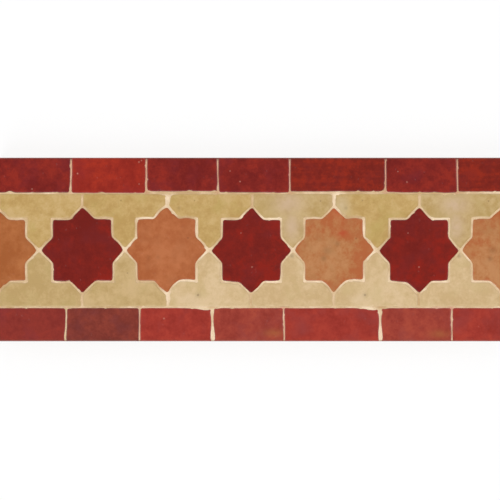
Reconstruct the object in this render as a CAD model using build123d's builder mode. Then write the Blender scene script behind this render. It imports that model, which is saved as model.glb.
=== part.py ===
from build123d import *
import os
from math import radians, sqrt, tan

# Hand-cut glazed mosaic border strip for a pool's waterline, one section.
# Units are millimetres. X runs along the strip, Y across it, and Z up from the back to the faces.
# The origin is at the middle of the back, and the strip lies on its back with the glaze up.

# Eight-point stars, each the outline of two overlapping squares
STAR_WIDTH = 49.0  # tip to tip along the strip
STAR_HEIGHT = 51.6  # tip to tip across the strip
TIP_GAP = 1.8  # between the tips of neighbouring stars
TIP_NIP = 0.6  # nipped off both sides of a star's or a tee's point
STAR_PITCHES = 6  # star to star steps in one section, which ends on a half star at each end

# Joints, and the tees that fill the band above and below the stars
JOINT = 1.25  # between any two pieces
TIP_COVER = 8.2  # from a star's upper or lower tip to the edge of the star band

# Brick courses along both edges, as joint to joint lengths from the left end to a cut brick at the right
UPPER_BRICK_WIDTH = 20.65
LOWER_BRICK_WIDTH = 19.75
UPPER_BRICKS = (43.5, 45.3, 43.3, 43.6, 58.1, 43.6, 27.4)
LOWER_BRICKS = (40.4, 44.5, 44.2, 43.3, 58.3, 43.3, 30.8)
BRICK_NIP = 0.5  # nipped off both sides of a brick's corner

# Thickness
TILE_THICKNESS = 10.0
BACK_BEVEL = 6.0  # degrees that the chiselled sides lean in towards the back
GROUT_RECESS = 0.4  # grout surface below the glazed faces
BED_THICKNESS = 5.0  # mortar under the pieces

# Sizes that follow from those above
PITCH = STAR_WIDTH + TIP_GAP
LENGTH = STAR_PITCHES * PITCH
BAND_WIDTH = STAR_HEIGHT + 2 * TIP_COVER
WIDTH = UPPER_BRICK_WIDTH + JOINT + BAND_WIDTH + JOINT + LOWER_BRICK_WIDTH
BAND_Y = (LOWER_BRICK_WIDTH - UPPER_BRICK_WIDTH) / 2  # middle line of the stars
FACE_HEIGHT = BED_THICKNESS + TILE_THICKNESS
UNDERCUT = TILE_THICKNESS * tan(radians(BACK_BEVEL))
WASTE = UNDERCUT + BRICK_NIP + JOINT  # stands past the strip's edge before it is dressed off
FACE_PLANE = Plane.XY.offset(FACE_HEIGHT)

os.makedirs("parts", exist_ok=True)

# Outline of one star, and the same outline with its joint around it
with BuildSketch() as star_outline:
    Rectangle(STAR_WIDTH / sqrt(2), STAR_HEIGHT / sqrt(2))
    with BuildLine():
        Polyline(
            (STAR_WIDTH / 2, 0),
            (0, STAR_HEIGHT / 2),
            (-STAR_WIDTH / 2, 0),
            (0, -STAR_HEIGHT / 2),
            close=True,
        )
    make_face()

with BuildSketch() as joint_outline:
    add(star_outline.sketch)
    offset(amount=JOINT, kind=Kind.INTERSECTION)


def chisel_sides(piece):
    """Cut the outline down from the glazed face, with sides that lean in towards the back."""
    extrude(amount=-TILE_THICKNESS)
    draft(piece.faces().filter_by(Axis.Z, reverse=True), FACE_PLANE, -BACK_BEVEL)


def corner_edges(piece):
    """The edges between neighbouring chiselled sides."""
    return piece.edges().group_by(Axis.Z)[1]


def dress_to_strip():
    """Trim what stands past the strip's ends and long edges, flush and square."""
    Box(LENGTH, WIDTH, 2 * FACE_HEIGHT, mode=Mode.INTERSECT)


def make_star(name, x):
    """One star, which the strip's end cuts in half where it stands on that end."""
    with BuildPart() as star:
        with BuildSketch(Plane((x, BAND_Y, FACE_HEIGHT))):
            add(star_outline.sketch)
        chisel_sides(star)
        corners = corner_edges(star).sort_by_distance((x, BAND_Y, FACE_HEIGHT))
        tips = corners[len(corners) // 2 :]
        chamfer(tips, length=TIP_NIP)
        dress_to_strip()
    star.part.label = name
    export_step(star.part, f"parts/{name}.step")
    return star.part


def make_tee(name, x, side):
    """One tee between two stars: a bar along the brick course and a stem down to the star tips."""
    with BuildPart() as tee:
        with BuildSketch(FACE_PLANE):
            with Locations((x, BAND_Y + side * BAND_WIDTH / 4)):
                Rectangle(PITCH - JOINT, BAND_WIDTH / 2)
            with Locations((x - PITCH / 2, BAND_Y), (x + PITCH / 2, BAND_Y)):
                add(joint_outline.sketch, mode=Mode.SUBTRACT)
        chisel_sides(tee)
        stem_tip = corner_edges(tee).sort_by_distance((x, BAND_Y, FACE_HEIGHT))[0]
        chamfer(stem_tip, length=TIP_NIP)
    tee.part.label = name
    export_step(tee.part, f"parts/{name}.step")
    return tee.part


def make_brick(name, start, end, side):
    """One brick of an edge course, with its outer side dressed flush with the strip's edge."""
    inner_edge = BAND_Y + side * (BAND_WIDTH / 2 + JOINT)
    outer_edge = side * (WIDTH / 2 + WASTE)
    with BuildPart() as brick:
        with BuildSketch(FACE_PLANE):
            with Locations(((start + end) / 2, (inner_edge + outer_edge) / 2)):
                Rectangle(end - start, abs(outer_edge - inner_edge))
        chisel_sides(brick)
        chamfer(corner_edges(brick), length=BRICK_NIP)
        dress_to_strip()
    brick.part.label = name
    export_step(brick.part, f"parts/{name}.step")
    return brick.part


def course_spans(lengths):
    """Start and end of each brick's face, with the course drawn out to fill the section.

    The end bricks run past the section's ends, where they are dressed off.
    """
    fit = LENGTH / sum(lengths)
    joints = [-LENGTH / 2 + fit * sum(lengths[:count]) for count in range(1, len(lengths))]
    starts = [-LENGTH / 2 - WASTE] + [joint + JOINT / 2 for joint in joints]
    ends = [joint - JOINT / 2 for joint in joints] + [LENGTH / 2 + WASTE]
    return list(zip(starts, ends))


tesserae = []

# Stars along the middle of the strip
for step in range(STAR_PITCHES + 1):
    star_name = f"star_{step}"
    if step == 0:
        star_name = "half_star_left"
    if step == STAR_PITCHES:
        star_name = "half_star_right"
    tesserae.append(make_star(star_name, step * PITCH - LENGTH / 2))

# Tees above and below, one pair between each two stars
for step in range(STAR_PITCHES):
    tee_x = (step + 0.5) * PITCH - LENGTH / 2
    tesserae.append(make_tee(f"upper_tee_{step + 1}", tee_x, 1))
    tesserae.append(make_tee(f"lower_tee_{step + 1}", tee_x, -1))

# Brick courses along the two long edges
for course, lengths, side in (("upper", UPPER_BRICKS, 1), ("lower", LOWER_BRICKS, -1)):
    for number, (start, end) in enumerate(course_spans(lengths), start=1):
        tesserae.append(make_brick(f"{course}_brick_{number}", start, end, side))

# Mortar bed, cast in one with the grout that rises between the pieces and keys under their bevels
with BuildPart() as grout_bed:
    Box(LENGTH, WIDTH, FACE_HEIGHT - GROUT_RECESS, align=(Align.CENTER, Align.CENTER, Align.MIN))
    add(tesserae, mode=Mode.SUBTRACT)
grout_bed.part.label = "grout_bed"
export_step(grout_bed.part, "parts/grout_bed.step")
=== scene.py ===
from math import atan, radians

import bpy
import numpy as np
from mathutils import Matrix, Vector, noise
from mathutils.geometry import delaunay_2d_cdt


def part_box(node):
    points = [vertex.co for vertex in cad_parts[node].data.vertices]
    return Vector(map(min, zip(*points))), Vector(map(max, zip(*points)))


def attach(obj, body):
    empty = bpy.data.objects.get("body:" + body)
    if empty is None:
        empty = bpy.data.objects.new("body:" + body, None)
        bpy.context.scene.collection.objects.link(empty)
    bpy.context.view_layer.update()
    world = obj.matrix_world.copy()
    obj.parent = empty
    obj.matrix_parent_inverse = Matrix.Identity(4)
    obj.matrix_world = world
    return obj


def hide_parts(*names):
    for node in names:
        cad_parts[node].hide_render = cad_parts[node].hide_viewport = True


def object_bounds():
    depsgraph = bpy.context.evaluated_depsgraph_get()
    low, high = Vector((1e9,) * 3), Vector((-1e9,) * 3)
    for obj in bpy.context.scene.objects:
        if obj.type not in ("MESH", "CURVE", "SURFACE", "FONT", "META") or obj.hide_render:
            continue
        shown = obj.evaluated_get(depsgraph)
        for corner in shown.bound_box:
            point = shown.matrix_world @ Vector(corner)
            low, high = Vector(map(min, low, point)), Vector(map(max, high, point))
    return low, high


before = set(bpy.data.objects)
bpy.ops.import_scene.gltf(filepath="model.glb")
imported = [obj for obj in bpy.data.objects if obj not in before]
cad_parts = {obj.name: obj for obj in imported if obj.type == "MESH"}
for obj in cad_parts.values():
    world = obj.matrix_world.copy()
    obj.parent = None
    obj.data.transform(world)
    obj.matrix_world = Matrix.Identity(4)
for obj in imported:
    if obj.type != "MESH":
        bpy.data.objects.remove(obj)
cad_low, cad_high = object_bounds()

# Sizes here are millimetres, and the frame is in metres
MM = 0.001
DECIMALS = 3
HALF = np.round(np.array((cad_high.x, cad_high.y)) / MM, DECIMALS)
FACE = round(cad_high.z / MM, DECIMALS)
BED = round(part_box("star_1")[0].z / MM, DECIMALS)
THICKNESS = FACE - BED
SAME_LEVEL = 0.01
ON_EDGE = 0.005

# The photograph: where the strip's middle lies in it, and how large a pixel is on the glazed face
PHOTO_SIDE = 500
PHOTO_MIDDLE = np.array((250.5, 249.5))
PHOTO_STRIP = 504.6
PHOTO_PIXEL = 2 * HALF[0] / PHOTO_STRIP

# Mesh steps
RIM_STEP = 0.32
FACE_STEP = 0.5
GROUT_STEP = 0.35
BACK_STEP = 2.5
GRID_ROWS = 0.87
GRID_JITTER = 0.15
GRID_CLEAR = 0.3
RING_DEPTHS = (0.2, 0.45)
RING_CLEAR = 0.85
SIDE_DEPTHS = (0.7, 1.6, 4.0, 7.0, THICKNESS)
BED_SIDE_SHARES = (0.15, 0.4, 0.65, 0.88, 1.0)
SHARP_ANGLE = 48.0
WHOLE_HULL = 0
WELD = 1e-6

# Hand-cut edges
BLUNT_ROUNDS = {"star": 4, "tee": 4, "brick": 1}
FILL_ROUNDS = 30
SOFT_ROUNDS = 30
GROWTH = {"star": 0.16, "tee": 0.0, "brick": 0.22}
WOBBLE = 0.16
WOBBLE_SIZES = (9.0, 2.6)
SHORT_WOBBLE = 0.5
FACING_BAND = 0.8
CHIP_SPACING = 26.0
CHIP_REACH = (0.6, 1.2)
CHIP_DEPTH = (0.15, 0.45)
CHISEL = 0.22
CHISEL_SIZE = 2.4
CHISEL_STRETCH = 2.2
BITE_NEAR = 1.3
FOOT_SHARE = 0.85

# Glazed faces
EDGE_DROP = 0.3
EDGE_REACH = 0.32
SINK = (0.02, 0.16)
TILT = 0.003
WAVE = 0.06
WAVE_SIZE = 9.0
DROP_LIMITS = (0.01, 0.6)
PIT_AREA = 150.0
PIT_TRIES = 40
PIT_MARGIN = 1.2
PIT_RADIUS = (0.22, 0.4)
PIT_TURNS = 8
PIT_CLEAR = 1.3
PIT_BOWL = 1.15
PIT_DEPTH = 0.12
PIT_SHADE = 0.5
FACE_SHARE = 0.7
# A painted shade line along the strip's long edges: its reach and strength
EDGE_LINE = 0.4
EDGE_SHADE = 0.5
BLOOM_REACH = 12.0
CLUMP = 0.6
CLUMP_SIZE = 2.5
SEED_STEP = 3.7

# Grout, measured down from the glazed faces
COLLAR_DIP = 0.32
JOINT_DIP = 0.42
COLLAR_REACH = 0.3
GROUT_GRAIN = 0.06
SLUMP = 0.5
SLUMP_REACH = 0.5
GROUT_MARGIN = 0.2
GROUT_CLEAR = 0.16
GROUT_NEAR = 1.0
GROUT_FAR = 9.0
EDGE_NUDGE = 0.05
MORTAR_ROUGH = 0.3
MORTAR_STRETCH = 1.6
BACK_LIFT = 0.12
BACK_FLAT = 0.4
BED_SEED = 500

# Noise on the grout and mortar, as the size of its features and its seed
GRAIN_CLOUDS = ((0.9, 7.0), (4.0, 8.0))
COLLAR_CLOUD = (3.0, 9.0)
MORTAR_CLOUD = (1.8, 11.0)
BACK_CLOUD = (6.0, 12.0)

# Glaze material: clouds of tone by size, seed shift, detail and strength, then its other layers
NOISE_RANGE = (0.3, 0.7)
TONE_CLOUDS = ((11.0, 0.0, 4.0, 0.9), (3.4, 2.0, 3.0, 0.6), (1.1, 0.0, 3.0, 0.35))
TONE_STOPS = (0.1, 0.5, 0.9)
BRUSH_SIZE = 2.6
BRUSH_DETAIL = 2.0
BRUSH_STRETCH = (0.09, 1, 1)
BRUSH_RANGE = (0.35, 0.65)
HAZE_SIZE = 12.0
HAZE_SEED = 5.0
HAZE_DETAIL = 5.0
HAZE_RANGE = (0.5, 0.72)
HAZE_SHARE = 0.75
CRAZE_SIZE = 4.5
CRAZE_WIDTH = 0.012
RIM_REACH = 0.6
RIM_SHARE = 0.5
GROG_SIZE = 0.8
GROG_STOPS = (0.3, 0.5, 0.7)
GROG_RELIEF = (0.04, 1.6)
RIPPLE_SIZE = 3.2
RIPPLE_DETAIL = 2.0
GLAZE_BUMP = (0.12, 0.35)
GLAZE_ROUGHNESS = (0.1, 0.22)
CLAY_ROUGHNESS = 0.85

# Grout material
GROUT_DRIFT = dict(size=7.0, seed=1.0, detail=5.0)
GROUT_SAND = dict(size=0.55, seed=2.0, detail=4.0, roughness=0.7)
DRIFT_SHARE = 0.65
SAND_SHARE = 0.35
SHADE_SHARE = 0.25
GROUT_STOPS = (0.33, 0.5, 0.66)
GRAIN_SIZE = 0.7
GROUT_BUMP = (0.25, 0.6)
GROUT_ROUGHNESS = 0.92

# Glazes, as sRGB colours: deep where the coat is thick, its body, light where it is thin, haze and patches
# Some have brush streaks, crazing, a lighter middle (bloom) or a tone that changes right and up (lean)
GLAZES = {
    "oxblood": dict(deep=(115, 25, 20), body=(129, 32, 24), light=(145, 39, 26), haze=(119, 33, 38),
                    patch=(147, 47, 34)),
    "tomato": dict(deep=(140, 33, 21), body=(153, 40, 25), light=(167, 46, 26), haze=(141, 38, 36),
                   patch=(168, 60, 35)),
    "streaked": dict(deep=(114, 26, 15), body=(125, 31, 18), light=(145, 38, 18), haze=(115, 31, 28),
                     patch=(140, 45, 30), streak=0.4),
    "wine": dict(deep=(129, 41, 34), body=(138, 47, 38), light=(147, 50, 39), haze=(132, 48, 50),
                 patch=(156, 69, 48)),
    "plum": dict(deep=(114, 44, 35), body=(126, 51, 40), light=(139, 58, 44), haze=(118, 54, 53),
                 patch=(135, 70, 49)),
    "coral": dict(deep=(146, 44, 34), body=(158, 51, 40), light=(169, 58, 44), haze=(148, 59, 55),
                  patch=(165, 78, 50)),
    "dusty": dict(deep=(143, 51, 40), body=(156, 60, 47), light=(168, 70, 52), haze=(146, 65, 60),
                  patch=(166, 92, 55)),
    "garnet": dict(deep=(113, 23, 15), body=(123, 27, 17), light=(138, 28, 15), haze=(116, 31, 30),
                   patch=(136, 44, 29), lean=(0.35, -0.35)),
    "amber": dict(deep=(162, 91, 46), body=(171, 100, 54), light=(180, 110, 63), haze=(164, 98, 56),
                  patch=(186, 73, 40)),
    "terracotta": dict(deep=(169, 93, 52), body=(178, 103, 61), light=(187, 112, 70), haze=(173, 104, 65),
                       patch=(185, 72, 40), bloom=0.3),
    "peach": dict(deep=(177, 99, 57), body=(182, 120, 74), light=(190, 133, 87), haze=(174, 124, 79),
                  patch=(186, 70, 42), bloom=0.9, lean=(-0.3, -0.3)),
    "honey": dict(deep=(186, 151, 91), body=(196, 163, 104), light=(204, 172, 118), haze=(187, 162, 95),
                  patch=(205, 181, 142), craze=0.15),
    "bone": dict(deep=(182, 151, 95), body=(192, 162, 110), light=(201, 173, 125), haze=(186, 160, 103),
                 patch=(206, 177, 147), craze=0.15),
    "sand": dict(deep=(187, 157, 104), body=(196, 166, 115), light=(205, 175, 127), haze=(189, 164, 108),
                 patch=(205, 181, 142), craze=0.15),
    "cream": dict(deep=(202, 171, 125), body=(211, 182, 138), light=(219, 191, 150), haze=(203, 177, 127),
                  patch=(220, 194, 156), craze=0.15),
}
GLAZE_RUNS = {
    "star": ("garnet", "terracotta", "garnet", "peach", "garnet"),
    "upper_tee": ("honey", "honey", "honey", "bone", "honey", "bone"),
    "lower_tee": ("sand", "sand", "cream", "cream", "cream", "cream"),
    "upper_brick": ("oxblood", "tomato", "oxblood", "oxblood", "streaked", "oxblood", "streaked"),
    "lower_brick": ("wine", "plum", "coral", "dusty", "coral", "dusty", "coral"),
}
# How much lighter or darker some pieces came out than the rest of their glaze
TONE_SHIFTS = {
    "star_1": -0.35, "star_3": 0.1, "star_4": -0.2, "star_5": 0.25, "half_star_right": 0.2,
    "upper_tee_1": 0.3, "upper_tee_2": -0.15, "upper_tee_3": -0.1,
    "lower_tee_1": -0.4, "lower_tee_2": 0.35, "lower_tee_3": 0.4,
    "lower_tee_4": -0.35, "lower_tee_5": 0.2, "lower_tee_6": -0.3, "upper_brick_5": -0.1,
}
GROUT_TONES = ((198, 163, 117), (220, 190, 150), (243, 218, 185))
MORTAR_TONES = ((176, 160, 138), (200, 184, 160), (216, 202, 180))
BISCUIT_TONES = ((176, 122, 92), (200, 148, 114), (216, 172, 140))
STAIN_TONE = (206, 142, 121)
# Colour of the painted shade on the grout along the strip's long edges
PAINTED_SHADE_TONE = (110, 50, 44)
PALE_SPECK = (214, 150, 130)
# Dark pits, smudges and crazing, and the painted shade line along the strip's long edges
DARK_SPECK_AND_SHADE = (92, 66, 40)

# How far along the strip the pieces are laid out of line, in rows across it: each row's y, then x and shift
DRIFT = (
    (-46.0, ((-112, 0.6), (-67, 0.4), (-23, 0.4), (20, 0.4), (79, 0.1), (122, 0.1))),
    (-30.0, ((-102, -0.3), (-51, 1.1), (0, 0.0), (51, -0.7), (102, 0.0))),
    (-14.0, ((-135, -1.2), (-119, -0.1), (-85, 1.0), (-68, -0.1), (-34, 0.0), (-17, 0.4), (17, 0.9),
             (34, -0.4), (68, -0.2), (85, 0.1), (119, 0.5), (135, -0.7))),
    (14.0, ((-135, -1.2), (-119, -0.5), (-85, 0.1), (-68, -0.3), (-34, 0.2), (-17, 0.7), (17, 0.7),
            (34, -0.4), (68, -0.3), (85, 0.5), (119, 0.5), (135, -0.7))),
    (30.0, ((-102, -0.2), (-51, 0.8), (0, 1.2), (51, -0.5), (102, 0.6))),
    (46.0, ((-109, 0.5), (-64, 0.7), (-21, 0.5), (23, 0.4), (81, 0.2), (125, -0.1))),
)

# Where the joints run out of true: x, y, then how far round it and the shift right and up in millimetres
NUDGES = (
    (0, 210, 4.5, 0.0, -1.6), (8, 218.5, 3.0, -0.8, 0.1), (0, 290, 4.5, 0.0, 1.6),
    (117, 244, 4.0, 0.5, 0.5), (102, 220, 5.0, 0.0, 0.5), (88, 213, 4.0, 0.4, 0.4),
    (62, 281, 5.0, 0.0, -0.5), (186, 219, 5.0, 0.0, 1.1), (160, 213, 4.5, -0.9, 0.9),
    (146, 220, 5.0, 0.0, 0.6), (160, 287, 4.0, -0.5, -0.5), (173, 287, 4.0, -0.8, 0.8),
    (187, 280, 5.0, 0.0, 0.7), (201, 256, 4.0, -0.35, 0.35), (199, 242, 3.5, 0.3, 0.3),
    (213, 246, 3.5, 0.3, -0.3), (244, 214, 4.0, -0.2, 0.2), (257, 214, 4.0, -0.2, -0.2),
    (236, 282, 5.0, -0.1, -0.8), (257, 287, 4.0, 0.3, -0.3), (271, 280, 5.0, 0.0, -0.3),
    (300, 244, 4.0, -0.3, 0.3), (314, 219, 6.0, 0.0, 0.6), (355, 219, 5.0, 0.0, 1.2),
    (368, 242, 4.0, 0.3, 0.3), (369, 256, 4.0, -0.4, 0.4), (328, 287, 4.0, 0.6, 0.6),
    (341, 287, 4.0, -0.5, 0.5), (355, 280, 5.0, 0.0, 0.9), (382, 246, 3.5, 0.3, -0.3),
    (386, 259, 3.5, -0.2, -0.2), (404, 282, 5.5, -0.1, -0.8), (413, 213, 4.0, -0.2, 0.2),
    (427, 216, 4.0, -0.2, -0.2), (424, 287, 4.0, 0.2, -0.2), (439, 280, 5.0, 0.0, -0.2),
    (456, 246, 3.5, -0.3, -0.3), (468, 244, 4.0, -0.3, 0.3), (482, 219, 6.0, 0.0, 0.7),
    (494, 216, 4.0, -0.3, 0.3), (277, 192, 5.0, 0.0, -0.3), (445, 192, 5.0, 0.0, -0.3),
    (66.5, 312, 5.0, 0.6, 0.0), (65, 336, 5.0, -0.4, 0.0), (380, 315, 4.0, 0.3, 0.0),
    (391, 192, 4.0, 0.0, 0.3), (455, 255, 3.0, 0.15, -0.15), (113, 237, 3.0, 0.1, 0.1),
    (405, 283, 4.0, 0.0, -0.15), (395, 282, 3.0, 0.0, -0.15), (230, 282, 4.0, 0.0, -0.15),
)

# How far bricks are cut short of the star band, or past their line where below 0
BRICK_REACH = -0.15
SHORT_BRICKS = {
    "upper_brick_1": -0.3, "upper_brick_2": -0.5, "upper_brick_3": 0.5, "upper_brick_5": 0.4,
    "upper_brick_7": 0.3,
}

# Marks read off the photograph, each at its pixel there
# Bites out of an edge, or swellings where below 0: x, y, then the reach and depth in millimetres
BITES = (
    (10.0, 190.5, 2.0, 1.2), (32.0, 191.0, 0.9, 0.4), (101.5, 191.5, 1.7, 0.65), (147.5, 191.0, 1.6, 0.7),
    (190.5, 190.5, 1.2, 0.5), (215.0, 189.5, 1.8, 0.9), (358.0, 190.5, 1.2, 0.65), (383.5, 190.5, 1.4, 0.8),
    (164.5, 195.0, 1.6, 0.6), (165.5, 201.0, 5.0, 0.6), (169.5, 195.0, 1.8, 0.7), (169.0, 200.0, 5.0, 0.8),
    (331.8, 195.0, 1.8, 0.5), (336.6, 195.0, 1.8, 0.6), (336.6, 203.0, 5.0, 0.4),
    (196.5, 229.0, 4.5, 0.2), (363.5, 226.0, 4.5, 0.2), (166.0, 297.0, 2.6, 0.6), (170.0, 297.0, 3.0, 0.6),
    (206.0, 310.5, 5.3, 1.5), (216.0, 310.3, 2.2, 0.6), (374.0, 310.0, 5.0, 1.4), (384.0, 310.3, 2.2, 0.6),
    (210.5, 335.0, 7.0, 0.7), (215.0, 337.0, 6.0, 1.0), (378.0, 335.0, 7.0, 0.7), (383.0, 337.0, 6.0, 1.0),
    (64.0, 337.0, 3.0, 0.3), (282.8, 318.0, 2.5, 0.4), (450.3, 318.0, 2.5, 0.4),
    (217.8, 174.0, 10.0, -0.1), (289.5, 174.0, 10.0, -0.1), (385.7, 174.0, 10.0, -0.12),
    (457.0, 174.0, 10.0, -0.1), (385.5, 160.0, 4.0, -0.1), (66.0, 317.0, 5.0, -0.1),
    (139.5, 325.0, 9.0, -0.14), (284.0, 314.0, 4.0, -0.12), (452.0, 326.0, 9.0, -0.14),
    (217.8, 184.0, 4.0, -0.08), (71.0, 189.0, 2.0, 0.25), (241.5, 219.5, 2.0, -0.3),
    (94.0, 219.5, 2.0, -0.3), (69.0, 281.0, 2.0, -0.25), (279.0, 279.5, 2.0, 0.25),
    (446.5, 279.5, 2.0, 0.25), (35.0, 250.0, 1.3, 0.7), (42.5, 250.0, 1.3, 0.4),
    (121.0, 250.0, 1.3, 0.35), (127.7, 250.0, 1.3, 0.25), (205.2, 250.0, 1.3, 0.7),
    (212.3, 250.0, 1.3, 0.4), (289.3, 250.0, 1.3, 0.25), (295.7, 250.0, 1.3, 0.4),
    (373.0, 250.0, 1.3, 0.7), (380.0, 250.0, 1.3, 0.6), (463.3, 250.0, 1.3, 0.3),
)
# Pale and dark pits in the glaze: x, y, then the radius in millimetres
PALE_PITS = (
    (77.5, 173.5, 0.6), (139.0, 162.0, 0.55), (141.5, 160.5, 0.45), (139.0, 184.0, 0.4), (32.0, 189.0, 0.5),
    (230.0, 171.0, 0.4), (240.0, 181.5, 0.5), (398.0, 171.5, 0.4), (407.0, 182.0, 0.5), (164.0, 318.5, 0.6),
    (252.0, 267.0, 0.5), (419.0, 267.0, 0.5), (241.0, 233.0, 0.35), (408.0, 233.0, 0.35),
)
DARK_PITS = (
    (198.0, 295.0, 0.9), (365.0, 295.0, 0.9), (194.5, 200.5, 0.4), (362.5, 200.5, 0.4),
    (320.5, 201.0, 0.5), (488.5, 201.0, 0.5), (121.0, 200.5, 0.45), (188.0, 238.0, 0.5),
    (356.0, 238.5, 0.5), (127.5, 273.0, 0.4),
)
# Smudges in the glaze: x, y, reach in millimetres, and strength
SMUDGES = (
    (337.6, 243.7, 1.5, 0.3), (327.0, 250.5, 2.2, 0.25), (324.0, 258.5, 1.5, 0.3),
    (492.6, 250.3, 2.2, 0.25), (490.7, 258.6, 1.5, 0.3), (148.6, 257.8, 1.2, 0.2),
    (158.0, 257.0, 1.2, 0.2), (198.0, 295.0, 1.6, 0.2), (365.0, 295.0, 1.6, 0.2),
    (179.0, 208.0, 1.0, 0.25), (346.0, 208.0, 1.0, 0.25), (292.0, 256.0, 1.2, 0.4),
    (459.0, 256.0, 1.2, 0.4),
)
# Patches of another tone: x, y, reach along and across the strip in millimetres, and strength
PATCHES = (
    (343.0, 233.0, 3.0, 2.0, 0.7), (274.0, 333.0, 6.0, 2.4, 0.7), (440.0, 334.0, 6.0, 2.4, 0.7),
    (288.0, 203.0, 9.0, 7.0, 0.8), (455.0, 205.0, 8.0, 6.0, 0.8), (292.0, 226.0, 5.0, 9.0, 0.8),
    (456.0, 226.0, 5.0, 9.0, 0.8), (341.0, 206.0, 5.0, 7.0, 0.9), (359.0, 299.0, 6.0, 3.0, 0.6),
    (191.0, 299.0, 6.0, 3.0, 0.6),
)
# Thinner coats, or thicker where below 0: x, y, reach along and across the strip in millimetres, and tone
COATS = (
    (341.0, 296.0, 6.0, 5.0, -1.2), (208.0, 263.0, 4.0, 6.0, -1.2), (374.0, 265.0, 4.0, 6.0, -0.9),
    (122.0, 268.0, 4.0, 6.0, -1.2), (125.0, 230.0, 4.0, 5.0, -0.9), (37.0, 237.0, 4.0, 5.0, -0.9),
    (318.0, 296.0, 6.0, 4.0, -0.9), (328.0, 200.0, 5.0, 4.0, -0.8), (346.0, 242.0, 8.0, 6.0, -0.6),
    (317.0, 232.0, 4.0, 4.0, -0.6), (158.0, 199.0, 5.0, 4.0, -0.6), (499.0, 276.0, 5.0, 6.0, 1.6),
    (499.0, 249.0, 4.0, 5.0, 0.9), (309.0, 267.0, 5.0, 7.0, 1.0), (353.0, 184.0, 9.0, 3.0, 1.0),
    (444.0, 212.0, 3.0, 3.0, 0.8), (297.0, 272.0, 3.0, 5.0, -0.8), (338.0, 218.0, 4.0, 4.0, 0.9),
    (207.0, 242.0, 3.0, 4.0, -0.9), (374.0, 242.0, 3.0, 4.0, -0.8), (210.0, 226.0, 3.0, 4.0, -0.6),
    (208.0, 166.0, 5.0, 4.0, -0.9), (372.0, 166.0, 7.0, 4.0, -0.9), (52.0, 210.0, 4.0, 4.0, -0.7),
    (336.0, 255.0, 4.0, 4.0, 0.7), (270.0, 197.0, 5.0, 2.0, -0.6), (121.0, 207.0, 5.0, 4.0, 0.9),
    (171.0, 262.0, 5.0, 4.0, -0.7), (480.0, 295.0, 5.0, 4.0, -0.7), (495.0, 202.0, 4.0, 4.0, -0.6),
)

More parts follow.
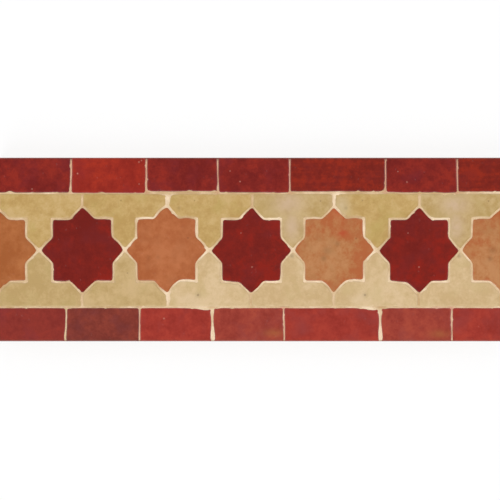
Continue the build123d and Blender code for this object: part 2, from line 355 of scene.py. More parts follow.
# Whiter grout, or darker where below 0: x, y, reach along and across the strip in millimetres, and strength
GROUT_SHADES = (
    (95.0, 193.0, 32.0, 1.6, -0.7), (182.0, 192.5, 18.0, 1.6, -0.6), (253.0, 192.5, 21.0, 1.6, -0.6),
    (358.0, 192.5, 14.0, 1.6, -0.6), (420.0, 192.5, 21.0, 1.6, -0.6), (484.0, 192.0, 8.0, 1.6, 0.2),
    (60.0, 245.0, 45.0, 28.0, -0.3), (82.7, 201.0, 2.0, 5.0, -0.2), (251.5, 201.0, 2.0, 5.0, -0.3),
    (420.0, 201.0, 2.0, 5.0, -0.3), (82.7, 299.0, 2.0, 5.0, -0.3), (250.5, 299.0, 2.0, 5.0, -0.6),
    (418.0, 299.0, 2.0, 5.0, -0.6), (166.5, 197.5, 3.0, 4.0, 0.4), (334.0, 198.5, 3.0, 4.0, 0.5),
    (168.0, 300.0, 3.0, 5.0, 0.5), (205.0, 308.5, 8.0, 2.0, 0.4), (373.0, 308.5, 8.0, 2.0, 0.4),
    (212.5, 336.0, 3.0, 8.0, 0.8), (380.5, 336.0, 3.0, 8.0, 0.8), (158.0, 284.0, 4.0, 3.0, -0.6),
    (4.0, 286.0, 4.0, 4.0, -1.2), (3.0, 215.0, 4.0, 3.0, -0.4), (187.0, 218.0, 6.0, 2.0, -0.8),
    (350.0, 216.5, 6.0, 2.0, -0.6), (266.0, 218.0, 8.0, 2.0, 0.7), (441.0, 218.0, 7.0, 2.0, 0.7),
    (271.0, 281.0, 6.0, 1.6, 0.7), (440.0, 281.0, 6.0, 1.6, 0.6), (184.0, 280.0, 8.0, 2.5, 0.7),
    (353.0, 280.0, 6.0, 2.0, 0.6), (313.0, 281.0, 5.0, 1.6, 0.4), (197.0, 229.0, 2.0, 5.0, 0.4),
    (363.5, 226.0, 2.0, 5.0, 0.4), (201.0, 255.0, 4.0, 4.0, 0.5), (369.0, 255.0, 4.0, 4.0, 0.5),
    (217.8, 174.0, 2.0, 12.0, -0.4), (289.5, 174.0, 2.0, 12.0, -0.3), (385.7, 174.0, 2.0, 12.0, -0.5),
    (457.0, 174.0, 2.0, 12.0, -0.4), (104.0, 307.5, 8.0, 1.6, -0.7), (65.0, 308.0, 3.0, 1.6, -0.4),
    (283.0, 308.0, 3.0, 1.6, -0.4), (451.0, 308.0, 3.0, 1.6, -0.4), (293.0, 192.0, 4.0, 1.6, -0.5),
    # The darker spots at (212, 307) and (380, 307) are painted shadow in the joint under the lower tees'
    # edges
    (461.0, 192.0, 4.0, 1.6, -0.5), (342.0, 194.0, 4.0, 1.6, 0.7), (212.0, 307.0, 3.0, 1.2, -0.8),
    (380.0, 307.0, 3.0, 1.2, -0.8), (147.5, 174.0, 2.0, 12.0, -0.5), (139.5, 325.0, 2.0, 9.0, -0.5),
    (92.0, 213.0, 5.0, 4.0, -0.6), (115.0, 233.0, 4.0, 4.0, -0.6), (219.0, 236.0, 4.0, 4.0, -0.5),
    (445.0, 192.5, 10.0, 1.6, -0.4), (270.0, 192.5, 8.0, 1.6, -0.3), (276.0, 217.0, 4.0, 2.0, 0.6),
    (444.0, 217.0, 4.0, 2.0, 0.5), (146.0, 218.0, 5.0, 2.0, 0.7), (42.0, 192.5, 8.0, 1.6, 0.5),
    (5.0, 307.5, 6.0, 1.6, -0.5), (132.0, 242.0, 3.0, 3.0, 0.6), (389.0, 236.0, 3.0, 4.0, -0.4),
    (455.0, 256.0, 3.0, 3.0, -0.4), (94.0, 213.0, 4.0, 3.0, -0.4), (39.5, 250.0, 3.0, 3.0, 0.4),
    (124.5, 250.0, 3.0, 3.0, 0.5), (50.0, 259.0, 3.0, 3.0, 0.5), (53.0, 270.0, 2.0, 5.0, 0.4),
    (117.0, 256.0, 3.0, 3.0, 0.5), (68.0, 218.0, 4.0, 2.0, -0.5), (469.0, 256.0, 3.0, 3.0, 0.5),
    (477.0, 281.0, 4.0, 2.0, 0.5),
)
# Joints stained by the red bricks: x, y, reach along and across the strip in millimetres, and strength
GROUT_STAINS = (
    (71.0, 174.0, 1.5, 12.0, 0.5), (147.0, 174.0, 1.5, 12.0, 0.7), (217.8, 174.0, 1.5, 12.0, 0.7),
    (289.5, 174.0, 1.5, 12.0, 0.8), (385.7, 174.0, 1.5, 12.0, 0.8), (457.0, 174.0, 1.5, 12.0, 0.8),
    (139.5, 325.0, 1.5, 9.0, 0.7), (284.0, 325.0, 1.5, 9.0, 0.5), (381.0, 325.0, 1.5, 9.0, 0.2),
    (451.5, 325.0, 1.5, 9.0, 0.5), (282.0, 309.0, 2.0, 1.2, 0.8), (451.0, 309.0, 2.0, 1.2, 0.8),
    (437.0, 308.5, 3.0, 1.2, 0.6), (267.0, 191.5, 3.0, 1.2, 0.7),
)
# Painted shade on the grout along the strip's upper and lower edges: side, reach in millimetres, and
# strength
GROUT_EDGE_SHADE = ((1, 1.5, 0.95), (-1, 0.7, 0.7))

# Light, which adds up to about 1 on a level white surface: the sky, and suns by direction and strength
SKY = 0.22
SUNS = (
    ((-0.3, -1.15, 1.0), 1.5), ((-1.15, 0.25, 1.0), 0.9), ((1.15, 0.1, 1.0), 0.9), ((0.2, 1.15, 1.0), 0.75),
)
SUN_ANGLE = 50.0

# Floor and camera
FLOOR_SIDE = 6000.0
FLOOR_DROP = 0.1
FLOOR_WHITE = (0.98, 0.98, 0.98, 1.0)
FLOOR_GLOW = 0.8
SKY_WHITE = (1.0, 1.0, 1.0, 1.0)
CAMERA_HEIGHT = 1500.0
SENSOR = 36.0


def photo_place(x, y):
    """The point of the strip, in millimetres, that shows at a pixel of the photograph."""
    return (np.array((x, y)) - PHOTO_MIDDLE) * (PHOTO_PIXEL, -PHOTO_PIXEL)


def bump_at(points, place, reach):
    """A soft bump, 1 at the place and fading over the reach."""
    return np.exp(-(((points - place) / reach) ** 2).sum(axis=1))


def spots(points, table):
    """The sum, at each point, of a table's soft spots."""
    total = np.zeros(len(points))
    for x, y, reach_x, reach_y, strength in table:
        total += strength * bump_at(points, photo_place(x, y), (reach_x, reach_y))
    return total


def cloud(points, size, seed):
    """Smooth noise, from about -1 to 1, with features of about this size."""
    return np.array([noise.noise(Vector((x / size, y / size, seed))) for x, y in points])


def lay_by_hand(points):
    """Moves points to where their piece was laid."""
    end = (HALF[0], 0.0)
    start = (-HALF[0], 0.0)
    rows = [np.interp(points[:, 0], *np.transpose((start, *row, end))) for _, row in DRIFT]
    levels = [level for level, _ in DRIFT]
    shift = [np.interp(y, levels, column) for y, column in zip(points[:, 1], np.transpose(rows))]
    laid = points + np.column_stack((shift, np.zeros(len(points))))
    for x, y, reach, right, up in NUDGES:
        laid += bump_at(points, photo_place(x, y), reach)[:, None] * (right, up)
    return laid


def outer_loop(sides):
    """The loop round a sheet, in order, from the directed sides of its faces."""
    sides = set(sides)
    follows = {start: end for start, end in sides if (end, start) not in sides}
    loop = [min(follows)]
    while follows[loop[-1]] != loop[0]:
        loop.append(follows[loop[-1]])
    return np.array(loop)


def flat_loop(node, height):
    """The corners round a solid's flat face at this height, counter-clockwise."""
    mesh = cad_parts[node].data
    sides = []
    for polygon in mesh.polygons:
        corners = [mesh.vertices[index].co / MM for index in polygon.vertices]
        if max(abs(corner.z - height) for corner in corners) < SAME_LEVEL:
            keys = [(round(corner.x, DECIMALS), round(corner.y, DECIMALS)) for corner in corners]
            sides += zip(keys, keys[1:] + keys[:1])
    loop = outer_loop(sides)
    ahead = np.roll(loop, -1, axis=0)
    area = (loop[:, 0] * ahead[:, 1] - loop[:, 1] * ahead[:, 0]).sum()
    return loop if area > 0 else loop[::-1]


def paired_rings(node):
    """Closely spaced points round the glazed face, and the points below them round the back."""
    top = flat_loop(node, FACE)
    back = flat_loop(node, BED)
    turns = [np.roll(back, -turn, axis=0) for turn in range(len(back))]
    back = min(turns, key=lambda loop: ((loop - top) ** 2).sum())
    rim, foot = [], []
    for here, there, low_here, low_there in zip(top, np.roll(top, -1, 0), back, np.roll(back, -1, 0)):
        steps = max(2, round(np.linalg.norm(there - here) / RIM_STEP))
        part = np.arange(steps)[:, None] / steps
        rim.append(here + part * (there - here))
        foot.append(low_here + part * (low_there - low_here))
    return [hold_border(lay_by_hand(ring), ring) for ring in (np.vstack(rim), np.vstack(foot))]


def on_border(points):
    """Which coordinates lie on the strip's dressed edges."""
    return np.abs(points) > HALF - ON_EDGE


def hold_border(points, start):
    """Keeps the points inside the strip, and those that start on its dressed edges on them."""
    return np.where(on_border(start), start, np.clip(points, -HALF, HALF))


def blunt(ring, rounds):
    """Evens out the values round a ring, which rounds its corners."""
    for _ in range(rounds):
        ring = ring / 2 + (np.roll(ring, 1, axis=0) + np.roll(ring, -1, axis=0)) / 4
    return ring


def steps_round(ring):
    """The length of the step that leads to each point of a ring."""
    return np.linalg.norm(ring - np.roll(ring, 1, axis=0), axis=1)


def outward(ring):
    """The direction out of a counter-clockwise ring at each of its points."""
    along = np.roll(ring, -1, axis=0) - np.roll(ring, 1, axis=0)
    along /= np.linalg.norm(along, axis=1, keepdims=True)
    return np.column_stack((along[:, 1], -along[:, 0]))


def inside(points, ring):
    """Which points lie inside a ring."""
    x, y = points[:, :1], points[:, 1:]
    ahead = np.roll(ring, -1, axis=0)
    rise = ahead[:, 1] - ring[:, 1]
    rise = np.where(rise == 0, 1.0, rise)
    crossing = ring[:, 0] + (y - ring[:, 1]) * (ahead[:, 0] - ring[:, 0]) / rise
    level = (ring[:, 1] > y) != (ahead[:, 1] > y)
    return (level & (x < crossing)).sum(axis=1) % 2 == 1


def distance(points, ring):
    """How far each point is from the nearest point of a ring."""
    return np.sqrt(((points[:, None] - ring[None]) ** 2).sum(axis=2).min(axis=1))


def grid_over(low, high, step, rng):
    """A loose triangular grid of points over a rectangle."""
    rows = []
    for number, y in enumerate(np.arange(low[1], high[1], step * GRID_ROWS)):
        x = np.arange(low[0] + (number % 2) * step / 2, high[0], step)
        rows.append(np.column_stack((x, np.full(len(x), y))))
    points = np.vstack(rows)
    return points + rng.uniform(-GRID_JITTER, GRID_JITTER, points.shape) * step


def triangulate(points, edges):
    """Triangles over the hull of the points, as their numbers, with these edges kept."""
    places = [Vector(point) for point in points.tolist()]
    _, _, triangles, sources, _, _ = delaunay_2d_cdt(places, edges, [], WHOLE_HULL, WELD, True)
    return np.array([[sources[index][0] for index in triangle] for triangle in triangles])


def loop_edges(count, start=0):
    """The edges round a closed loop of points."""
    return [(start + index, start + (index + 1) % count) for index in range(count)]


def wall(above, below):
    """The faces between two rings of points, as their numbers."""
    return np.column_stack((above, below, np.roll(below, -1), np.roll(above, -1))).tolist()


def new_piece(name, points, faces, marks, material):
    """A mesh object with its marks as attributes of its points."""
    mesh = bpy.data.meshes.new(name)
    mesh.from_pydata((points * MM).tolist(), [], faces)
    for mark, values in marks.items():
        attribute = mesh.attributes.new(mark, "FLOAT", "POINT")
        attribute.data.foreach_set("value", np.asarray(values, dtype=np.float32))
    mesh.materials.append(material)
    mesh.shade_smooth()
    mesh.set_sharp_from_angle(angle=radians(SHARP_ANGLE))
    piece = bpy.data.objects.new(name, mesh)
    bpy.context.scene.collection.objects.link(piece)
    return piece


# Materials


def linear(colour):
    """An sRGB colour of 0 to 255 as the linear colour, with alpha, that a shader takes."""
    share = np.array(colour) / 255
    value = np.where(share <= 0.04045, share / 12.92, ((share + 0.055) / 1.055) ** 2.4)
    return (*value.tolist(), 1.0)


class Shader:
    """A material's nodes, added one at a time and linked by their outputs."""

    def __init__(self, name):
        self.material = bpy.data.materials.new(name)
        self.material.use_nodes = True
        self.tree = self.material.node_tree
        self.surface = self.tree.nodes["Principled BSDF"]
        self.place = self.add("ShaderNodeTexCoord").outputs["Object"]

    def add(self, kind, inputs=(), **settings):
        node = self.tree.nodes.new(kind)
        for name, value in settings.items():
            setattr(node, name, value)
        for socket, value in dict(inputs).items():
            self.put(node.inputs[socket], value)
        return node

    def put(self, socket, value):
        if isinstance(value, bpy.types.NodeSocket):
            self.tree.links.new(value, socket)
        else:
            socket.default_value = value

    def mark(self, name):
        return self.add("ShaderNodeAttribute", attribute_name=name).outputs["Fac"]

    def math(self, operation, first, second=0.0):
        node = self.add("ShaderNodeMath", {0: first, 1: second}, operation=operation)
        return node.outputs[0]

    def spread(self, value, low, high, bottom=0.0, top=1.0):
        names = ("Value", "From Min", "From Max", "To Min", "To Max")
        node = self.add("ShaderNodeMapRange", dict(zip(names, (value, low, high, bottom, top))))
        return node.outputs["Result"]

    def clouds(self, size, seed, detail=4.0, roughness=0.55, stretch=(1, 1, 1)):
        place = self.add("ShaderNodeMapping", {"Vector": self.place, "Scale": stretch}).outputs[0]
        inputs = {"Vector": place, "W": seed, "Scale": 1 / (size * MM)}
        inputs.update({"Detail": detail, "Roughness": roughness})
        return self.add("ShaderNodeTexNoise", inputs, noise_dimensions="4D").outputs["Fac"]

    def cells(self, size, feature):
        inputs = {"Vector": self.place, "Scale": 1 / (size * MM)}
        return self.add("ShaderNodeTexVoronoi", inputs, feature=feature).outputs["Distance"]

    def blend(self, share, first, second):
        node = self.add("ShaderNodeMix", data_type="RGBA")
        for socket, value in ((0, share), (6, first), (7, second)):
            self.put(node.inputs[socket], value)
        return node.outputs[2]

    def ramp(self, value, tones, places):
        node = self.add("ShaderNodeValToRGB", {"Fac": value})
        stops = node.color_ramp.elements
        for _ in tones[2:]:
            stops.new(0.5)
        for stop, tone, position in zip(stops, tones, places):
            stop.position = position
            stop.color = linear(tone)
        return node.outputs["Color"]

    def bump(self, height, depth, strength):
        inputs = {"Height": height, "Distance": depth * MM, "Strength": strength}
        self.put(self.surface.inputs["Normal"], self.add("ShaderNodeBump", inputs).outputs["Normal"])


def glaze_material(name, deep, body, light, haze, patch, streak=0.0, craze=0.0, **_):
    """Hand-dipped glaze over a fired clay body, which shows on the cut sides."""
    shader = Shader(f"glaze_{name}")
    seed = shader.mark("seed")
    tone = shader.mark("tone")
    for size, shift, detail, strength in TONE_CLOUDS:
        speckle = shader.clouds(size, shader.math("ADD", seed, shift), detail=detail)
        tone = shader.math("ADD", tone, shader.spread(speckle, *NOISE_RANGE, -strength, strength))
    if streak:
        brush = shader.clouds(BRUSH_SIZE, seed, detail=BRUSH_DETAIL, stretch=BRUSH_STRETCH)
        tone = shader.math("ADD", tone, shader.spread(brush, *BRUSH_RANGE, -streak, streak))
    colour = shader.ramp(shader.spread(tone, -1.0, 1.0), (deep, body, light), TONE_STOPS)
    veil = shader.clouds(HAZE_SIZE, shader.math("ADD", seed, HAZE_SEED), detail=HAZE_DETAIL)
    colour = shader.blend(shader.spread(veil, *HAZE_RANGE, 0.0, HAZE_SHARE), colour, linear(haze))
    colour = shader.blend(shader.mark("patch"), colour, linear(patch))
    if craze:
        lines = shader.cells(CRAZE_SIZE, "DISTANCE_TO_EDGE")
        lines = shader.spread(lines, 0.0, CRAZE_WIDTH, craze, 0.0)
        colour = shader.blend(lines, colour, linear(DARK_SPECK_AND_SHADE))
    # Each piece is darker towards its edge
    rim = shader.spread(shader.mark("rim"), 0.0, RIM_REACH, RIM_SHARE, 0.0)
    colour = shader.blend(rim, colour, linear(deep))
    colour = shader.blend(shader.mark("pale"), colour, linear(PALE_SPECK))
    # The dark mark holds dark pits, smudges, and the painted shade line along the strip's long edges
    colour = shader.blend(shader.mark("dark"), colour, linear(DARK_SPECK_AND_SHADE))
    grog = shader.clouds(GROG_SIZE, seed)
    bare = shader.mark("bare")
    colour = shader.blend(bare, colour, shader.ramp(grog, BISCUIT_TONES, GROG_STOPS))
    shader.put(shader.surface.inputs["Base Color"], colour)
    gloss = shader.spread(speckle, *NOISE_RANGE, *GLAZE_ROUGHNESS)
    matt = shader.math("MULTIPLY", bare, CLAY_ROUGHNESS)
    shader.put(shader.surface.inputs["Roughness"], shader.math("MAXIMUM", gloss, matt))
    ripple = shader.clouds(RIPPLE_SIZE, seed, detail=RIPPLE_DETAIL)
    grain = shader.math("MULTIPLY", grog, shader.spread(bare, 0.0, 1.0, *GROG_RELIEF))
    shader.bump(shader.math("ADD", ripple, grain), *GLAZE_BUMP)
    return shader.material


def grout_material():
    """Sandy cement grout, pale in the joints and greyer on the mortar's sides and back."""
    shader = Shader("sanded_grout")
    drift = shader.math("MULTIPLY", shader.clouds(**GROUT_DRIFT), DRIFT_SHARE)
    sand = shader.clouds(**GROUT_SAND)
    tone = shader.math("ADD", drift, shader.math("MULTIPLY", sand, SAND_SHARE))
    shade = shader.math("MULTIPLY", shader.mark("shade"), SHADE_SHARE)
    joint = shader.ramp(shader.math("ADD", tone, shade), GROUT_TONES, GROUT_STOPS)
    joint = shader.blend(shader.mark("stain"), joint, linear(STAIN_TONE))
    # Painted shade on the grout along the strip's long edges
    joint = shader.blend(shader.mark("grout_edge_shade"), joint, linear(PAINTED_SHADE_TONE))
    mortar = shader.ramp(tone, MORTAR_TONES, GROUT_STOPS)
    shader.put(shader.surface.inputs["Base Color"], shader.blend(shader.mark("joint"), mortar, joint))
    shader.surface.inputs["Roughness"].default_value = GROUT_ROUGHNESS
    grains = shader.cells(GRAIN_SIZE, "F1")
    shader.bump(shader.math("ADD", sand, grains), *GROUT_BUMP)
    return shader.material


# Tesserae


def cut_rim(node, rim, rng, seed):
    """The ring of a hand-cut edge: blunted corners, a wobble, and bites and chips out of it."""
    kind = next(kind for kind in GROWTH if kind in node)
    ring = hold_border(blunt(rim, BLUNT_ROUNDS[kind]), rim)
    out = outward(ring)
    if kind == "star":
        filled = hold_border(blunt(rim, FILL_ROUNDS), rim)
        inner_corner = ((filled - ring) * out).sum(axis=1) > 0
        ring[inner_corner] = filled[inner_corner]
    if kind == "brick":
        band_side = out[:, 1] * np.sign(ring[:, 1]) < -FACING_BAND
        ring[band_side, 1] += SHORT_BRICKS.get(node, BRICK_REACH) * np.sign(ring[band_side, 1])
    out = blunt(out, SOFT_ROUNDS)
    long_wave, short_wave = (cloud(ring, size, seed) for size in WOBBLE_SIZES)
    inward = WOBBLE * (long_wave + SHORT_WOBBLE * short_wave) - GROWTH[kind]
    for x, y, reach, depth in BITES:
        place = photo_place(x, y)
        if distance(place[None], ring)[0] < BITE_NEAR:
            inward += depth * bump_at(ring, place, reach)
    chips = round(steps_round(ring).sum() / CHIP_SPACING)
    for place in rng.choice(len(ring), chips, replace=False):
        inward += rng.uniform(*CHIP_DEPTH) * bump_at(ring, ring[place], rng.uniform(*CHIP_REACH))
    return hold_border(ring - out * inward[:, None], rim)


def pits_of(ring, rng):
    """The pits in a piece's glaze: place, radius, and whether they are pale, dark or plain."""
    pits = []
    for shade, marks in (("pale", PALE_PITS), ("dark", DARK_PITS)):
        places = np.array([photo_place(x, y) for x, y, _ in marks])
        for place, (_, _, radius), here in zip(places, marks, inside(places, ring)):
            if here:
                pits.append((place, radius, shade))
    low, high = ring.min(axis=0), ring.max(axis=0)
    spare = rng.uniform(low, high, (PIT_TRIES, 2))
    spare = spare[inside(spare, ring) & (distance(spare, ring) > PIT_MARGIN)]
    for place in spare[: round(FACE_SHARE * np.prod(high - low) / PIT_AREA)]:
        pits.append((place, rng.uniform(*PIT_RADIUS), "plain"))
    return pits


def face_points(ring, pits, rng):
    """Points over a glazed face: rings beside its edge, a loose grid, and rosettes round its pits."""
    out = outward(ring)
    found = []
    for depth in RING_DEPTHS:
        inner = ring - out * depth
        found.append(inner[inside(inner, ring) & (distance(inner, ring) > RING_CLEAR * depth)])
    grid = grid_over(ring.min(axis=0), ring.max(axis=0), FACE_STEP, rng)
    grid = grid[inside(grid, ring)]
    grid = grid[distance(grid, ring) > RING_DEPTHS[-1] + GRID_CLEAR * FACE_STEP]
    turns = np.arange(PIT_TURNS) * 2 * np.pi / PIT_TURNS
    circle = np.column_stack((np.cos(turns), np.sin(turns)))
    for place, radius, _ in pits:
        grid = grid[np.linalg.norm(grid - place, axis=1) > PIT_CLEAR * radius]
        found.extend((place[None], place + circle * radius / 2, place + circle * radius))
    return np.vstack(found + [grid])


def glaze_marks(node, glaze, plan, gap, middle, span, seed):
    """How the glaze varies over a face, apart from its pits, with a painted shade line along the strip's
    long edges.
    """
    settings = GLAZES[glaze]
    marks = {mark: np.zeros(len(plan)) for mark in ("tone", "patch", "pale", "dark", "bare")}
    marks["rim"] = np.clip(gap, 0, 1)
    marks["tone"] += ((plan - middle) / span) @ np.array(settings.get("lean", (0, 0)))
    marks["tone"] += settings.get("bloom", 0.0) * (np.clip(gap / BLOOM_REACH, 0, 1) - 0.5)
    marks["tone"] += TONE_SHIFTS.get(node, 0.0) + spots(plan, COATS)
    clumps = np.clip(1 + CLUMP * cloud(plan, CLUMP_SIZE, seed), 0, 1)
    for patch in PATCHES:
        marks["patch"] = np.maximum(marks["patch"], clumps * spots(plan, [patch]))
    for x, y, reach, strength in SMUDGES:
        marks["dark"] = np.maximum(marks["dark"], strength * bump_at(plan, photo_place(x, y), reach))
    # Painted shade: a dark line along the strip's long edges
    edge_gap = HALF[1] - np.abs(plan[:, 1])
    marks["dark"] = np.maximum(marks["dark"], EDGE_SHADE * np.exp(-edge_gap / EDGE_LINE))
    return marks


def side_rows(ring, foot, seed):
    """The chiselled sides, as rings of points from under the glazed edge down to the back."""
    along = np.cumsum(steps_round(ring))
    rows = []
    for depth in SIDE_DEPTHS:
        row = ring + depth / THICKNESS * (foot - ring)
        if depth < THICKNESS:
            place = np.column_stack((along, np.full(len(ring), CHISEL_STRETCH * depth)))
            cuts = CHISEL * np.abs(cloud(place, CHISEL_SIZE, seed + 1))
            row = row - outward(row) * cuts[:, None]
        rows.append(np.column_stack((np.clip(row, -HALF, HALF), np.full(len(ring), FACE - depth))))
    return rows


def build_tessera(node, glaze, order):
    """One tessera cut to its solid's outline, with an uneven glazed face and chiselled sides."""
    rng = np.random.default_rng(order)
    seed = SEED_STEP * order
    rim_start, foot_start = paired_rings(node)
    ring = cut_rim(node, rim_start, rng, seed)
    foot = hold_border(foot_start + FOOT_SHARE * (ring - rim_start), foot_start)
    pits = pits_of(ring, rng)
    plan = np.vstack((ring, face_points(ring, pits, rng)))
    triangles = triangulate(plan, loop_edges(len(ring)))
    triangles = triangles[inside(plan[triangles].mean(axis=1), ring)]

    gap = distance(plan, ring)
    middle = (ring.min(axis=0) + ring.max(axis=0)) / 2
    span = (ring.max(axis=0) - ring.min(axis=0)) / 2
    drop = rng.uniform(*SINK) + (plan - middle) @ rng.uniform(-TILT, TILT, 2)
    drop += WAVE * (1 + cloud(plan, WAVE_SIZE, seed)) + EDGE_DROP * np.exp(-gap / EDGE_REACH)
    marks = glaze_marks(node, glaze, plan, gap, middle, span, seed)
    for place, radius, shade in pits:
        hollow = np.clip(PIT_BOWL - (np.linalg.norm(plan - place, axis=1) / radius) ** 2, 0, 1)
        drop += PIT_DEPTH * hollow
        if shade != "plain":
            marks[shade] = np.maximum(marks[shade], PIT_SHADE * hollow)

    rows = side_rows(ring, foot, seed)
    points = np.vstack((np.column_stack((plan, FACE - np.clip(drop, *DROP_LIMITS))), *rows))
    faces = triangles.tolist()
    above = np.arange(len(ring))
    for number in range(len(rows)):
        below = len(plan) + number * len(ring) + np.arange(len(ring))
        faces += wall(above, below)
        above = below
    faces.append(above[::-1].tolist())
    for mark, values in marks.items():
        marks[mark] = np.append(values, np.full(len(points) - len(plan), float(mark == "bare")))
    marks["seed"] = np.full(len(points), seed)
    piece = new_piece(f"{node}_glazed", points, faces, marks, materials[glaze])
    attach(piece, "root")
    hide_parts(node)
    collar = ring + COLLAR_DIP / THICKNESS * (foot - ring)
    return collar, foot


# Grout and mortar


def border_points(step):
    """Points along the strip's four edges."""
    x = np.arange(-HALF[0] + step, HALF[0], step)
    y = np.arange(-HALF[1] + step, HALF[1], step)
    ends = [np.column_stack((np.full(len(y), side * HALF[0]), y)) for side in (-1, 1)]
    edges = [np.column_stack((x, np.full(len(x), side * HALF[1]))) for side in (-1, 1)]
    return np.vstack(ends + edges)


def slump(points):
    """How far the grout has sunk beside the strip's edges."""
    return SLUMP * np.exp(-(HALF - np.abs(points)).min(axis=1) / SLUMP_REACH)


def joint_grid(sockets, rng):
    """Points over the open joints, and how far each is from the nearest tessera."""
    grid = grid_over(-HALF + GROUT_MARGIN, HALF - GROUT_MARGIN, GROUT_STEP, rng)
    grid = np.vstack((grid, border_points(GROUT_STEP)))
    gap = np.full(len(grid), GROUT_FAR)
    nudged = grid * (1 - EDGE_NUDGE / HALF)
    for collar, _ in sockets:
        low, high = collar.min(axis=0) - GROUT_NEAR, collar.max(axis=0) + GROUT_NEAR
        index = np.flatnonzero(np.all((grid > low) & (grid < high), axis=1))
        covered = inside(nudged[index], collar)
        gap[index] = np.minimum(gap[index], np.where(covered, 0, distance(grid[index], collar)))
    open_joint = gap > GROUT_CLEAR
    return grid[open_joint], gap[open_joint]


def bed_top(sockets, rng):
    """The casting's top: its points, which of them are joint, and its triangles."""
    grid, gap = joint_grid(sockets, rng)
    grain = GROUT_GRAIN * sum(cloud(grid, size, seed) for size, seed in GRAIN_CLOUDS)
    rise = (JOINT_DIP - COLLAR_DIP) * np.exp(-gap / COLLAR_REACH)
    plan, heights = [grid], [FACE - JOINT_DIP + rise + grain - slump(grid)]
    edges, joint = [], [np.ones(len(grid))]
    start = len(grid)
    for collar, foot in sockets:
        edge = on_border(collar).any(axis=1)
        buried = edge & np.roll(edge, 1) & np.roll(edge, -1)
        kept = np.flatnonzero(~buried)
        place = {old: start + new for new, old in enumerate(kept)}
        plan.append(collar[kept])
        uneven = GROUT_GRAIN * cloud(collar[kept], *COLLAR_CLOUD)
        heights.append(FACE - COLLAR_DIP + uneven - slump(collar[kept]))
        joint.append(np.ones(len(kept)))
        pairs = ((old, (old + 1) % len(collar)) for old in kept)
        edges += [(place[a], place[b]) for a, b in pairs if b in place and not (edge[a] and edge[b])]
        start += len(kept)
        plan.append(foot)
        heights.append(np.full(len(foot), BED))
        joint.append(np.zeros(len(foot)))
        edges += loop_edges(len(foot), start)
        start += len(foot)
    plan = np.vstack(plan)
    points = np.column_stack((plan, np.concatenate(heights)))
    return points, np.concatenate(joint), triangulate(plan, edges)


def bed_marks(points, joint):
    """The grout's shades and stains, and the painted shade along the strip's long edges."""
    plan = points[:, :2]
    # Painted shade, darkest at the strip's upper and lower edges
    grout_edge_shade = np.zeros(len(plan))
    for side, reach, strength in GROUT_EDGE_SHADE:
        grout_edge_shade += strength * np.exp(-(((HALF[1] - side * plan[:, 1]) / reach) ** 2))
    shade = spots(plan, GROUT_SHADES)
    stain = spots(plan, GROUT_STAINS)
    return {"joint": joint, "shade": shade, "stain": stain, "grout_edge_shade": grout_edge_shade}


def build_bed(sockets):
    """The grout in the joints and the mortar bed, as one casting with a socket under each tessera."""
    rng = np.random.default_rng(BED_SEED)
    top, joint, triangles = bed_top(sockets, rng)
    sides = np.vstack((triangles[:, (0, 1)], triangles[:, (1, 2)], triangles[:, (2, 0)]))
    border = outer_loop(map(tuple, sides.tolist()))

    points = [top]
    faces = triangles.tolist()
    edge_line, edge_height = top[border, :2], top[border, 2]
    along = np.cumsum(steps_round(edge_line))
    above = border
    start = len(top)
    for share in BED_SIDE_SHARES:
        level = edge_height * (1 - share)
        place = np.column_stack((along, MORTAR_STRETCH * level))
        rough = MORTAR_ROUGH * np.abs(cloud(place, *MORTAR_CLOUD)) * (share < 1)
        inset = edge_line - np.sign(edge_line) * on_border(edge_line) * rough[:, None]
        points.append(np.column_stack((inset, level)))
        below = start + np.arange(len(border))
        faces += wall(above, below)
        above = below
        start += len(border)

    back = grid_over(-HALF + BACK_STEP, HALF - BACK_STEP, BACK_STEP, rng)
    lift = BACK_LIFT * np.clip(BACK_FLAT + cloud(back, *BACK_CLOUD), 0, 1)
    points = np.vstack((*points, np.column_stack((back, lift))))
    under_faces = triangulate(np.vstack((edge_line, back)), loop_edges(len(border)))[:, ::-1]
    number = np.concatenate((above, start + np.arange(len(back))))
    faces += number[under_faces].tolist()
    joint = np.append(joint, np.zeros(len(points) - len(top)))
    marks = bed_marks(points, joint)
    piece = new_piece("grout_bed_cast", points, faces, marks, materials["grout"])
    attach(piece, "root")
    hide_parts("grout_bed")


# Stage


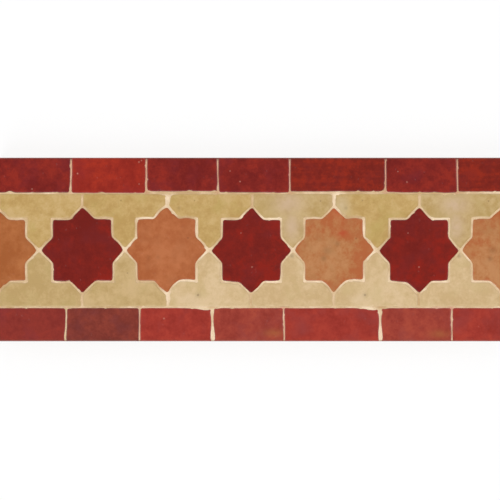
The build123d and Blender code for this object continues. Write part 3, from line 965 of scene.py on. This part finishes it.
def build_floor(scene):
    """A white floor that still takes the strip's shadow."""
    half = FLOOR_SIDE / 2 * MM
    mesh = bpy.data.meshes.new("floor")
    corners = [(-half, -half, 0), (half, -half, 0), (half, half, 0), (-half, half, 0)]
    mesh.from_pydata(corners, [], [(0, 1, 2, 3)])
    floor = bpy.data.objects.new("floor", mesh)
    floor.location.z = -FLOOR_DROP * MM
    scene.collection.objects.link(floor)
    shader = Shader("floor_white")
    shader.surface.inputs["Base Color"].default_value = FLOOR_WHITE
    shader.surface.inputs["Roughness"].default_value = 1.0
    shader.surface.inputs["Specular IOR Level"].default_value = 0.0
    ray = shader.add("ShaderNodeLightPath").outputs
    seen = shader.math("MAXIMUM", ray["Is Camera Ray"], ray["Is Glossy Ray"])
    seen = shader.math("MAXIMUM", seen, ray["Is Transmission Ray"])
    share = shader.math("MULTIPLY", seen, FLOOR_GLOW)
    glow = shader.add("ShaderNodeEmission", {"Strength": 1.0}).outputs[0]
    mixed = shader.add("ShaderNodeMixShader", {0: share, 1: shader.surface.outputs[0], 2: glow}).outputs[0]
    shader.put(shader.tree.nodes["Material Output"].inputs["Surface"], mixed)
    mesh.materials.append(shader.material)


def build_lights(scene):
    """A dim white sky and soft suns from four sides."""
    world = bpy.data.worlds.new("studio")
    world.use_nodes = True
    world.node_tree.nodes["Background"].inputs["Color"].default_value = SKY_WHITE
    world.node_tree.nodes["Background"].inputs["Strength"].default_value = SKY
    scene.world = world
    for number, (direction, strength) in enumerate(SUNS):
        lamp = bpy.data.lights.new(f"soft_light_{number}", "SUN")
        lamp.energy = strength
        lamp.angle = radians(SUN_ANGLE)
        light = bpy.data.objects.new(lamp.name, lamp)
        light.rotation_euler = Vector(direction).to_track_quat("Z", "Y").to_euler()
        scene.collection.objects.link(light)


def build_camera(scene):
    """A camera that looks straight down, as the photograph does."""
    lens = bpy.data.cameras.new("camera")
    lens.sensor_width = SENSOR
    lens.angle = 2 * atan(PHOTO_SIDE * PHOTO_PIXEL / 2 / (CAMERA_HEIGHT - FACE))
    camera = bpy.data.objects.new("camera", lens)
    middle = photo_place(PHOTO_SIDE / 2, PHOTO_SIDE / 2)
    camera.location = Vector((*middle, CAMERA_HEIGHT)) * MM
    scene.collection.objects.link(camera)
    scene.camera = camera


materials = {name: glaze_material(name, **tones) for name, tones in GLAZES.items()}
materials["grout"] = grout_material()
glazes = {"half_star_left": "amber", "half_star_right": "peach"}
for kind, run in GLAZE_RUNS.items():
    glazes.update({f"{kind}_{number}": glaze for number, glaze in enumerate(run, start=1)})
sockets = [build_tessera(node, glaze, order) for order, (node, glaze) in enumerate(glazes.items(), start=1)]
build_bed(sockets)

stage = bpy.context.scene
stage.view_settings.view_transform = "Standard"
build_floor(stage)
build_lights(stage)
build_camera(stage)
